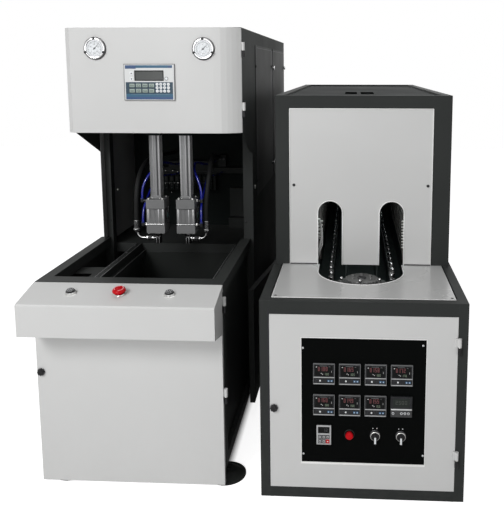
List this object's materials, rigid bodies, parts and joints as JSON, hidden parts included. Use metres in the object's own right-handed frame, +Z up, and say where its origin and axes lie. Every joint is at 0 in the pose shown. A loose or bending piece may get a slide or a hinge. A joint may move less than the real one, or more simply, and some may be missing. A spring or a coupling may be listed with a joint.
{
  "type": "blow moulding machine",
  "caption": "Semi-automatic stretch blow moulding set: a blowing cabinet with an overhanging head and two blow units, and a preform heating cabinet with a spindle chain.",
  "frame": {"origin": "centre of the bounding box on the floor plane", "axes": "+Z up, +Y to the rear, +X to the right seen from the front"},
  "size_m": [1.465, 2.197, 1.603],
  "materials": {
    "aluminium": "anodised",
    "black_plastic": "moulded",
    "cast_green": "painted",
    "chrome": "polished",
    "dial_white": "dial",
    "frame_dark": "satin dark grey paint",
    "keypad_blue": "membrane",
    "lamp_glass": "quartz",
    "panel_dark": "near black paint",
    "panel_light": "light warm grey paint",
    "red_plastic": "moulded",
    "rubber": "hose cover",
    "steel": "brushed",
    "table_light": "light grey paint",
    "tube_blue": "air tube"
  },
  "bodies": {
    "cabinets": {"air_fittings": "steel", "air_tube_left_lower": "tube_blue", "air_tube_left_upper": "tube_blue", "air_tube_right_lower": "tube_blue", "air_tube_right_upper": "tube_blue", "bay_back_panel": "panel_light", "blower_frame": "frame_dark", "blower_left_panel": "panel_dark", "blower_rear_panel": "panel_dark", "blower_right_panel": "panel_dark", "blower_roof_panel": "panel_dark", "chain_motor": "cast_green", "clamp_cylinders": "aluminium", "door_hinge_pins": "steel", "head_floor_plate": "frame_dark", "heater_frame": "frame_dark", "heater_front_panel": "panel_light", "heater_rear_panel": "panel_dark", "heater_side_panels": "panel_dark", "heater_table_panel": "panel_light", "heater_top_deck": "panel_dark", "lamp_banks": "lamp_glass", "levelling_feet": "frame_dark", "mould_pit_tray": "panel_dark", "oven_bed": "panel_dark", "pressure_hose_left": "rubber", "pressure_hose_right": "rubber", "right_side_covers": "panel_dark", "seal_cylinders": "aluminium", "spindle_chain": "steel", "sprocket_bearings": "steel", "stretch_cylinders": "aluminium", "valve_manifold": "table_light"},
    "head_door": {"head_door": "panel_light", "pressure_gauges": "dial_white", "machine_keypad": "keypad_blue"},
    "gauge_needle_left": {"gauge_needle_left": "black_plastic"},
    "gauge_needle_right": {"gauge_needle_right": "black_plastic"},
    "front_door": {"front_door": "panel_light", "console_box": "panel_light", "console_button_collars": "steel"},
    "front_door_latch": {"front_door_latch": "black_plastic"},
    "start_button_left": {"start_button_left": "black_plastic"},
    "start_button_right": {"start_button_right": "black_plastic"},
    "emergency_stop_button": {"emergency_stop_button": "red_plastic"},
    "clamp_platen_front": {"clamp_platen_front": "steel"},
    "clamp_platen_rear": {"clamp_platen_rear": "steel"},
    "blow_nozzle_left": {"blow_nozzle_left": "steel"},
    "blow_nozzle_right": {"blow_nozzle_right": "steel"},
    "stretch_rod_left": {"stretch_rod_left": "chrome"},
    "stretch_rod_right": {"stretch_rod_right": "chrome"},
    "heater_door": {"heater_door": "panel_light", "instrument_panel": "black_plastic", "temperature_controllers": "black_plastic"},
    "heater_door_latch": {"heater_door_latch": "black_plastic"},
    "heating_button": {"heating_button": "red_plastic"},
    "selector_left": {"selector_left": "black_plastic"},
    "selector_right": {"selector_right": "black_plastic"},
    "front_sprocket": {"front_sprocket": "steel"},
    "rear_sprocket": {"rear_sprocket": "steel"}
  },
  "joints": [
    {"name": "head_door_hinge", "type": "hinge", "parent": "cabinets", "child": "head_door", "pos_m": [-0.0595, -0.5955, 1.4], "axis": [0, 0, 1], "range_deg": [0, 100]},
    {"name": "gauge_left_needle", "type": "hinge", "parent": "head_door", "child": "gauge_needle_left", "pos_m": [-0.6095, -0.6405, 1.524], "axis": [0, 1, 0], "range_deg": [-180, 90]},
    {"name": "gauge_right_needle", "type": "hinge", "parent": "head_door", "child": "gauge_needle_right", "pos_m": [-0.2015, -0.6405, 1.522], "axis": [0, 1, 0], "range_deg": [-180, 90]},
    {"name": "front_door_hinge", "type": "hinge", "parent": "cabinets", "child": "front_door", "pos_m": [-0.0765, -0.9655, 0.5], "axis": [0, 0, 1], "range_deg": [0, 60]},
    {"name": "front_door_latch_turn", "type": "hinge", "parent": "front_door", "child": "front_door_latch", "pos_m": [-0.7175, -0.9735, 0.411], "axis": [0, 1, 0], "range_deg": [0, 90]},
    {"name": "start_button_left_press", "type": "slide", "parent": "front_door", "child": "start_button_left", "axis": [0, 0.2162, -0.9764], "range_m": [0, 0.004], "stiffness_N_per_m": 300, "springref_m": -0.003},
    {"name": "start_button_right_press", "type": "slide", "parent": "front_door", "child": "start_button_right", "axis": [0, 0.2162, -0.9764], "range_m": [0, 0.004], "stiffness_N_per_m": 300, "springref_m": -0.003},
    {"name": "emergency_stop_button_press", "type": "slide", "parent": "front_door", "child": "emergency_stop_button", "axis": [0, 0.2162, -0.9764], "range_m": [0, 0.005], "stiffness_N_per_m": 800, "springref_m": -0.003},
    {"name": "clamp_front_slide", "type": "slide", "parent": "cabinets", "child": "clamp_platen_front", "axis": [0, 1, 0], "range_m": [0, 0.05]},
    {"name": "clamp_rear_slide", "type": "slide", "parent": "cabinets", "child": "clamp_platen_rear", "axis": [0, -1, 0], "range_m": [0, 0.05]},
    {"name": "seal_left_slide", "type": "slide", "parent": "cabinets", "child": "blow_nozzle_left", "axis": [0, 0, -1], "range_m": [0, 0.02]},
    {"name": "seal_right_slide", "type": "slide", "parent": "cabinets", "child": "blow_nozzle_right", "axis": [0, 0, -1], "range_m": [0, 0.02]},
    {"name": "stretch_left_slide", "type": "slide", "parent": "cabinets", "child": "stretch_rod_left", "axis": [0, 0, -1], "range_m": [0, 0.26]},
    {"name": "stretch_right_slide", "type": "slide", "parent": "cabinets", "child": "stretch_rod_right", "axis": [0, 0, -1], "range_m": [0, 0.26]},
    {"name": "heater_door_hinge", "type": "hinge", "parent": "cabinets", "child": "heater_door", "pos_m": [0.7045, -1.025, 0.35], "axis": [0, 0, 1], "range_deg": [0, 110]},
    {"name": "heater_door_latch_turn", "type": "hinge", "parent": "heater_door", "child": "heater_door_latch", "pos_m": [0.0955, -1.0185, 0.325], "axis": [0, 1, 0], "range_deg": [0, 90]},
    {"name": "heating_button_press", "type": "slide", "parent": "heater_door", "child": "heating_button", "axis": [0, 1, 0], "range_m": [0, 0.004], "stiffness_N_per_m": 300, "springref_m": -0.003},
    {"name": "selector_left_turn", "type": "hinge", "parent": "heater_door", "child": "selector_left", "pos_m": [0.4335, -1.0185, 0.235], "axis": [0, 1, 0], "range_deg": [-45, 45]},
    {"name": "selector_right_turn", "type": "hinge", "parent": "heater_door", "child": "selector_right", "pos_m": [0.519, -1.0185, 0.235], "axis": [0, 1, 0], "range_deg": [-45, 45]},
    {"name": "front_sprocket_turn", "type": "hinge", "parent": "cabinets", "child": "front_sprocket", "pos_m": [0.3905, -0.6615, 0.62], "axis": [0, 0, 1], "continuous": true},
    {"name": "rear_sprocket_turn", "type": "hinge", "parent": "cabinets", "child": "rear_sprocket", "pos_m": [0.3905, 0.86999, 0.62], "axis": [0, 0, 1], "continuous": true}
  ],
  "couplings": [
    {"joint": "clamp_rear_slide", "follows": "clamp_front_slide", "ratio": 1},
    {"joint": "seal_right_slide", "follows": "seal_left_slide", "ratio": 1},
    {"joint": "stretch_right_slide", "follows": "stretch_left_slide", "ratio": 1},
    {"joint": "front_sprocket_turn", "follows": "rear_sprocket_turn", "ratio": 1}
  ]
}
